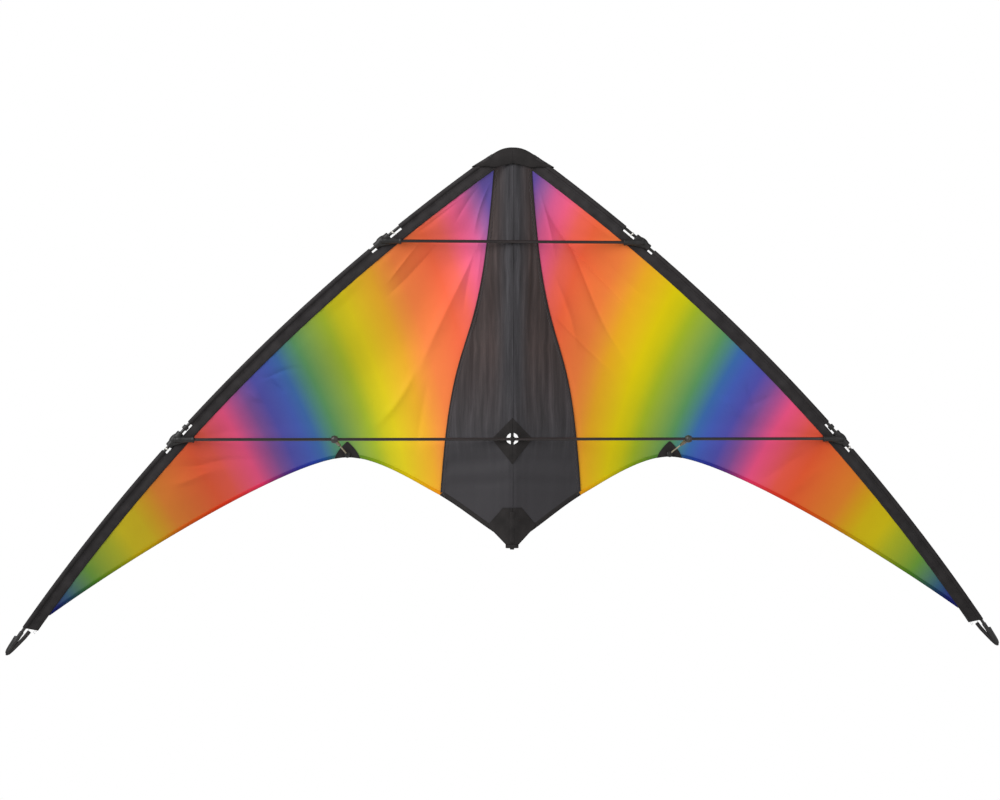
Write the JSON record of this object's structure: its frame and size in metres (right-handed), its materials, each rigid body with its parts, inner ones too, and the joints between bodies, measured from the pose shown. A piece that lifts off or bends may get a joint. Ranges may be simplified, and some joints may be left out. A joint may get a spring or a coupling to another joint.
{
  "type": "delta stunt kite",
  "caption": "Two-line delta stunt kite with a rod frame, rainbow sail, dark centre panel, moulded connectors, standoffs and folding wings.",
  "frame": {"origin": "where the lower spreader crosses the spine, in the plane of the leading edges", "axes": "+X to the kite's right wing as its pilot sees it, +Z to the nose, -Y towards the pilot"},
  "size_m": [1.331, 0.0618, 0.6697],
  "materials": {
    "carbon_rod": "pultruded rod, satin",
    "vinyl_cap": "soft vinyl, satin",
    "dark_ripstop": "coated woven polyester, soft sheen",
    "rainbow_ripstop": "printed woven polyester, soft sheen",
    "sleeve_cloth": "heavier woven polyester, matte",
    "black_webbing": "heavy woven polyester, matte",
    "black_line": "braided line, matte",
    "white_line": "braided line, matte",
    "moulded_rubber": "moulded, satin",
    "nock_plastic": "moulded, satin",
    "clip_plastic": "moulded, satin",
    "clear_vinyl": "clear tube, glossy",
    "pale_rod": "glass-fibre rod, glossy"
  },
  "bodies": {
    "spine": {"spine_rod": "carbon_rod", "spine_nose_cap": "vinyl_cap", "spine_tail_cap": "vinyl_cap", "centre_tape": "dark_ripstop", "nose_patch": "black_webbing", "tail_patch": "black_webbing", "tail_tab": "black_webbing", "centre_patch": "black_webbing", "centre_lashing": "black_line"},
    "left_wing": {"left_edge_rod": "carbon_rod", "left_rod_nose_cap": "vinyl_cap", "left_edge_sleeve": "sleeve_cloth", "left_sail": "rainbow_ripstop", "left_centre_panel": "dark_ripstop", "left_upper_connector": "moulded_rubber", "left_lower_connector": "moulded_rubber", "left_stop_ring": "moulded_rubber", "left_upper_bridle_loop": "white_line", "left_lower_bridle_loop": "white_line", "left_tip_nock": "nock_plastic", "left_tip_cord": "black_line", "left_standoff_patch": "black_webbing", "left_standoff_fitting": "moulded_rubber"},
    "right_wing": {"right_edge_rod": "carbon_rod", "right_rod_nose_cap": "vinyl_cap", "right_edge_sleeve": "sleeve_cloth", "right_sail": "rainbow_ripstop", "right_centre_panel": "dark_ripstop", "right_upper_connector": "moulded_rubber", "right_lower_connector": "moulded_rubber", "right_stop_ring": "moulded_rubber", "right_upper_bridle_loop": "white_line", "right_lower_bridle_loop": "white_line", "right_tip_nock": "nock_plastic", "right_tip_cord": "black_line", "right_standoff_patch": "black_webbing", "right_standoff_fitting": "moulded_rubber"},
    "upper_spreader": {"upper_spreader_rod": "carbon_rod"},
    "lower_spreader": {"lower_spreader_rod": "carbon_rod"},
    "left_standoff": {"left_standoff_clip": "clip_plastic", "left_standoff_cup": "clear_vinyl", "left_standoff_rod": "pale_rod"},
    "right_standoff": {"right_standoff_clip": "clip_plastic", "right_standoff_cup": "clear_vinyl", "right_standoff_rod": "pale_rod"}
  },
  "joints": [
    {"name": "left_wing_fold", "type": "hinge", "parent": "spine", "child": "left_wing", "pos_m": [-0.005, 0, 0], "axis": [0, 0, -1], "range_deg": [0, 70], "deforming": ["nose_patch", "tail_patch", "centre_patch", "left_upper_connector", "left_lower_connector", "left_standoff_fitting"]},
    {"name": "right_wing_fold", "type": "hinge", "parent": "spine", "child": "right_wing", "pos_m": [0.005, 0, 0], "axis": [0, 0, 1], "range_deg": [0, 70], "deforming": ["nose_patch", "tail_patch", "centre_patch", "right_upper_connector", "right_lower_connector", "right_standoff_fitting"]},
    {"name": "upper_spreader_lift_off", "type": "slide", "parent": "spine", "child": "upper_spreader", "axis": [0, -1, 0], "range_m": [0, 0.08], "deforming": ["left_upper_connector", "right_upper_connector"]},
    {"name": "lower_spreader_lift_off", "type": "slide", "parent": "spine", "child": "lower_spreader", "axis": [0, -1, 0], "range_m": [0, 0.12], "deforming": ["left_lower_connector", "right_lower_connector", "centre_lashing", "left_standoff_fitting", "right_standoff_fitting"]},
    {"name": "left_standoff_swing", "type": "hinge", "parent": "lower_spreader", "child": "left_standoff", "pos_m": [-0.236, -0.0042, 0], "axis": [-1, 0, 0], "range_deg": [0, 100], "deforming": ["left_standoff_fitting"]},
    {"name": "right_standoff_swing", "type": "hinge", "parent": "lower_spreader", "child": "right_standoff", "pos_m": [0.236, -0.0042, 0], "axis": [-1, 0, 0], "range_deg": [0, 100], "deforming": ["right_standoff_fitting"]}
  ]
}
